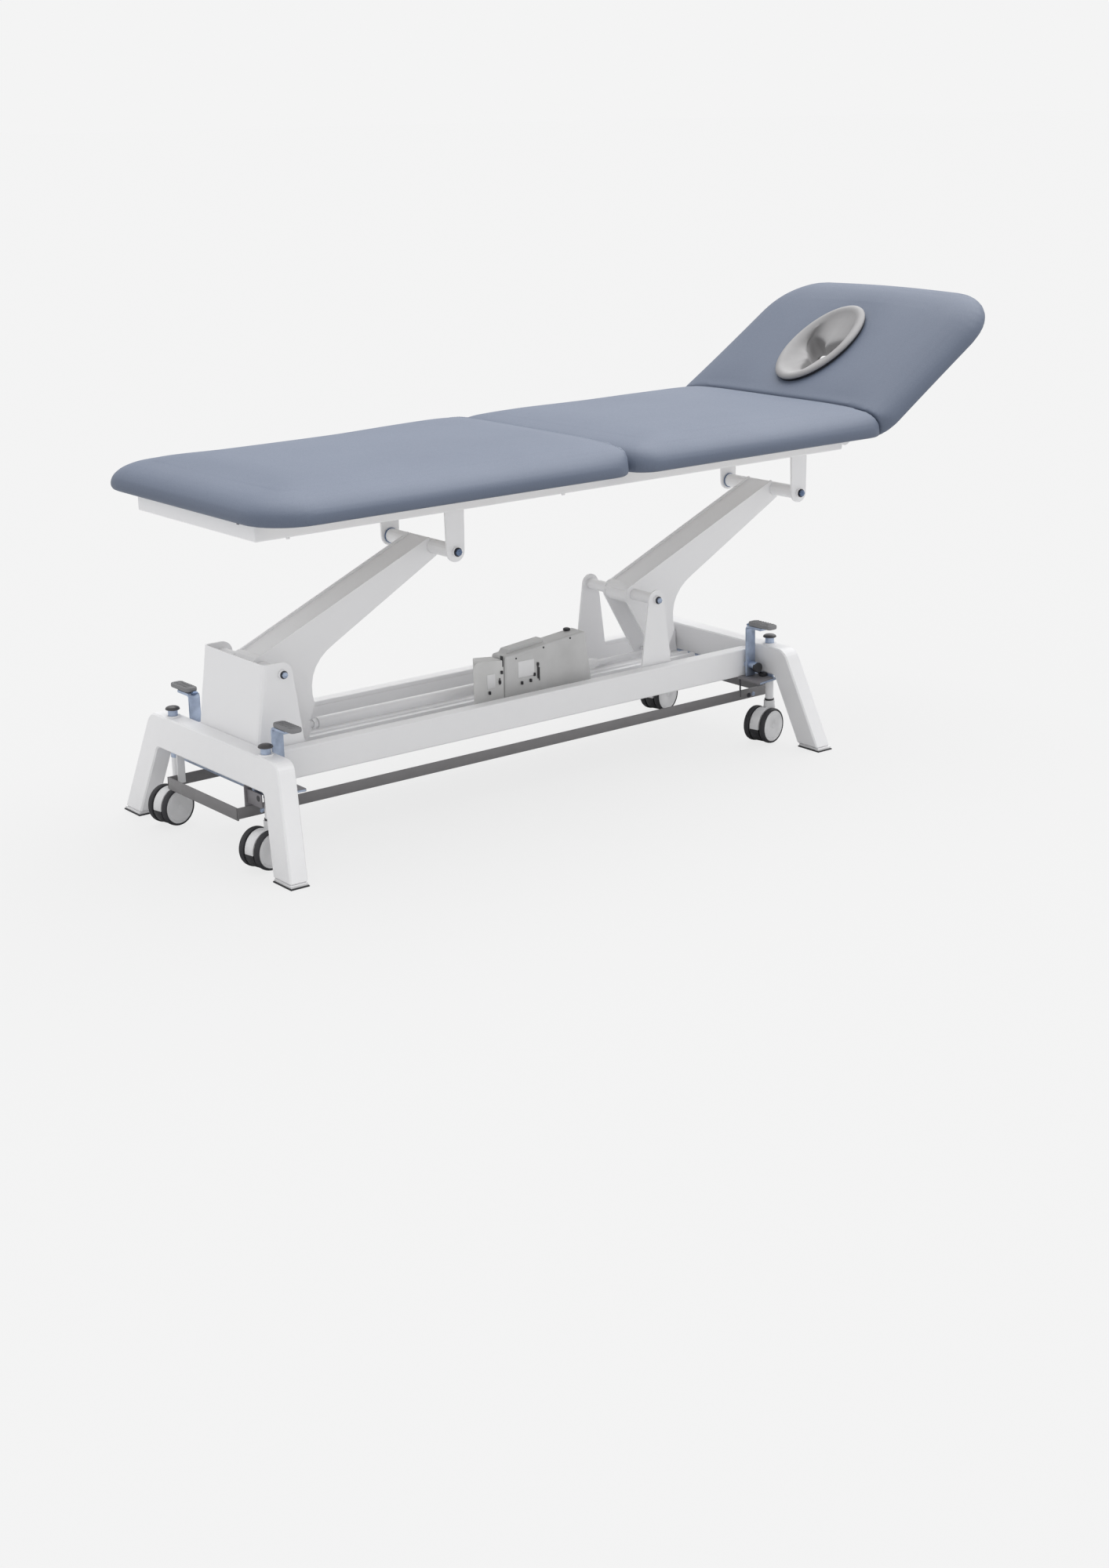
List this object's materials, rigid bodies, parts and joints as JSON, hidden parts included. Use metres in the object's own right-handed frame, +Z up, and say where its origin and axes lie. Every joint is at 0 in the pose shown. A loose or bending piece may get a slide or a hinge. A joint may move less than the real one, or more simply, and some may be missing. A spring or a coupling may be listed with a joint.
{
  "type": "massage table",
  "caption": "Electric treatment table: hinged leg, seat and tilting head sections with a face opening, on a crank-arm lift over a low steel base with retracting castors.",
  "frame": {"origin": "on the floor, under the middle of the whole table's length and width", "axes": "+Z up, +X towards the head end, +Y towards the far side as pictured"},
  "size_m": [1.9619, 0.6962, 0.974],
  "materials": {
    "white_paint": "satin",
    "grey_paint": "satin",
    "zinc_steel": "satin",
    "dark_tread": "matte",
    "black_rubber": "matte",
    "blue_hide": "satin",
    "birch_plywood": "matte",
    "grey_shell": "satin",
    "pale_shell": "satin"
  },
  "bodies": {
    "base": {"end_frame_foot": "white_paint", "end_frame_head": "white_paint", "rail_near": "white_paint", "rail_far": "white_paint", "base_tray": "white_paint", "foot_pad_foot_near": "black_rubber", "foot_pad_foot_far": "black_rubber", "foot_pad_head_near": "black_rubber", "foot_pad_head_far": "black_rubber", "tower_foot": "white_paint", "tower_head_near": "white_paint", "tower_head_far": "white_paint", "lower_shaft_foot": "white_paint", "lower_shaft_head": "white_paint", "control_box": "grey_shell", "supply_box": "grey_shell", "bar_hanger_foot_near": "grey_paint", "bar_hanger_foot_far": "grey_paint", "bar_hanger_head_near": "grey_paint", "bar_hanger_head_far": "grey_paint"},
    "arm_foot": {"arm_foot": "white_paint", "upper_shaft_foot": "white_paint"},
    "arm_head": {"arm_head": "white_paint", "upper_shaft_head": "white_paint"},
    "tie_rod": {"tie_rod": "white_paint", "rod_end_foot": "zinc_steel", "rod_end_head": "zinc_steel"},
    "top": {"top_frame": "white_paint", "lift_bracket_foot_near": "white_paint", "lift_bracket_foot_far": "white_paint", "lift_bracket_head_near": "white_paint", "lift_bracket_head_far": "white_paint", "seat_board": "birch_plywood", "seat_cushion": "blue_hide"},
    "leg": {"leg_board": "birch_plywood", "leg_cushion": "blue_hide"},
    "head": {"head_frame": "white_paint", "head_board": "birch_plywood", "head_cushion": "blue_hide", "face_ring": "grey_shell"},
    "switch_bar": {"switch_bar": "grey_paint"},
    "castor_lift_foot": {"castor_lift_foot": "zinc_steel"},
    "pedal_foot_near": {"pedal_foot_near": "zinc_steel", "pedal_pad_foot_near": "dark_tread"},
    "castor_hood_foot_near": {"castor_hood_foot_near": "pale_shell"},
    "castor_wheels_foot_near": {"castor_wheels_foot_near": "black_rubber"},
    "pedal_foot_far": {"pedal_foot_far": "zinc_steel", "pedal_pad_foot_far": "dark_tread"},
    "castor_hood_foot_far": {"castor_hood_foot_far": "pale_shell"},
    "castor_wheels_foot_far": {"castor_wheels_foot_far": "black_rubber"},
    "castor_lift_head": {"castor_lift_head": "zinc_steel"},
    "pedal_head_near": {"pedal_head_near": "zinc_steel", "pedal_pad_head_near": "dark_tread"},
    "castor_hood_head_near": {"castor_hood_head_near": "pale_shell"},
    "castor_wheels_head_near": {"castor_wheels_head_near": "black_rubber"},
    "pedal_head_far": {"pedal_head_far": "zinc_steel", "pedal_pad_head_far": "dark_tread"},
    "castor_hood_head_far": {"castor_hood_head_far": "pale_shell"},
    "castor_wheels_head_far": {"castor_wheels_head_far": "black_rubber"}
  },
  "joints": [
    {"name": "lift", "type": "hinge", "parent": "base", "child": "arm_foot", "pos_m": [-0.8325, 0, 0.3575], "axis": [0, -1, 0], "range_deg": [-31.6, 28.4]},
    {"name": "lift_head", "type": "hinge", "parent": "base", "child": "arm_head", "pos_m": [0.1195, 0, 0.3575], "axis": [0, -1, 0], "range_deg": [-31.6, 28.4]},
    {"name": "top_level", "type": "hinge", "parent": "arm_foot", "child": "top", "pos_m": [-0.4125, 0, 0.541], "axis": [0, -1, 0], "range_deg": [-28.4, 31.6]},
    {"name": "tie_rod_pin", "type": "hinge", "parent": "arm_foot", "child": "tie_rod", "pos_m": [-0.74938, 0, 0.20721], "axis": [0, -1, 0], "range_deg": [-28.4, 31.6]},
    {"name": "leg_section", "type": "hinge", "parent": "top", "child": "leg", "pos_m": [-0.1117, 0, 0.738], "axis": [0, 1, 0], "range_deg": [0, 70]},
    {"name": "head_section", "type": "hinge", "parent": "top", "child": "head", "pos_m": [0.595, 0, 0.668], "axis": [0, -1, 0], "range_deg": [-93, 2]},
    {"name": "castor_lift_foot", "type": "slide", "parent": "base", "child": "castor_lift_foot", "axis": [0, 0, -1], "range_m": [0, 0.012]},
    {"name": "pedal_foot_near", "type": "hinge", "parent": "base", "child": "pedal_foot_near", "pos_m": [-0.878, -0.163, 0.18], "axis": [0, 1, 0], "range_deg": [0, 20]},
    {"name": "swivel_foot_near", "type": "hinge", "parent": "castor_lift_foot", "child": "castor_hood_foot_near", "pos_m": [-0.9175, -0.184, 0.0945], "axis": [0, 0, 1], "continuous": true},
    {"name": "wheels_foot_near", "type": "hinge", "parent": "castor_hood_foot_near", "child": "castor_wheels_foot_near", "pos_m": [-0.93902, -0.18857, 0.042], "axis": [-0.2079, 0.9781, 0], "continuous": true},
    {"name": "pedal_foot_far", "type": "hinge", "parent": "base", "child": "pedal_foot_far", "pos_m": [-0.878, 0.163, 0.18], "axis": [0, 1, 0], "range_deg": [0, 20]},
    {"name": "swivel_foot_far", "type": "hinge", "parent": "castor_lift_foot", "child": "castor_hood_foot_far", "pos_m": [-0.9175, 0.184, 0.0945], "axis": [0, 0, 1], "continuous": true},
    {"name": "wheels_foot_far", "type": "hinge", "parent": "castor_hood_foot_far", "child": "castor_wheels_foot_far", "pos_m": [-0.93902, 0.17943, 0.042], "axis": [-0.2079, 0.9781, 0], "continuous": true},
    {"name": "castor_lift_head", "type": "slide", "parent": "base", "child": "castor_lift_head", "axis": [0, 0, -1], "range_m": [0, 0.012]},
    {"name": "pedal_head_near", "type": "hinge", "parent": "base", "child": "pedal_head_near", "pos_m": [0.355, -0.163, 0.18], "axis": [0, -1, 0], "range_deg": [0, 20]},
    {"name": "swivel_head_near", "type": "hinge", "parent": "castor_lift_head", "child": "castor_hood_head_near", "pos_m": [0.3945, -0.184, 0.0945], "axis": [0, 0, 1], "continuous": true},
    {"name": "wheels_head_near", "type": "hinge", "parent": "castor_hood_head_near", "child": "castor_wheels_head_near", "pos_m": [0.37298, -0.18857, 0.042], "axis": [-0.2079, 0.9781, 0], "continuous": true},
    {"name": "pedal_head_far", "type": "hinge", "parent": "base", "child": "pedal_head_far", "pos_m": [0.355, 0.163, 0.18], "axis": [0, -1, 0], "range_deg": [0, 20]},
    {"name": "swivel_head_far", "type": "hinge", "parent": "castor_lift_head", "child": "castor_hood_head_far", "pos_m": [0.3945, 0.184, 0.0945], "axis": [0, 0, 1], "continuous": true},
    {"name": "wheels_head_far", "type": "hinge", "parent": "castor_hood_head_far", "child": "castor_wheels_head_far", "pos_m": [0.37298, 0.17943, 0.042], "axis": [-0.2079, 0.9781, 0], "continuous": true},
    {"name": "foot_switch", "type": "slide", "parent": "base", "child": "switch_bar", "axis": [0, 0, 1], "range_m": [-0.008, 0], "stiffness_N_per_m": 4000, "springref_m": 0.01}
  ],
  "couplings": [
    {"joint": "lift_head", "follows": "lift", "ratio": 1},
    {"joint": "top_level", "follows": "lift", "ratio": -1},
    {"joint": "tie_rod_pin", "follows": "lift", "ratio": -1},
    {"joint": "pedal_foot_near", "follows": "castor_lift_foot", "rad_per_m": 28.57},
    {"joint": "pedal_foot_far", "follows": "castor_lift_foot", "rad_per_m": 28.57},
    {"joint": "pedal_head_near", "follows": "castor_lift_head", "rad_per_m": 28.57},
    {"joint": "pedal_head_far", "follows": "castor_lift_head", "rad_per_m": 28.57}
  ]
}
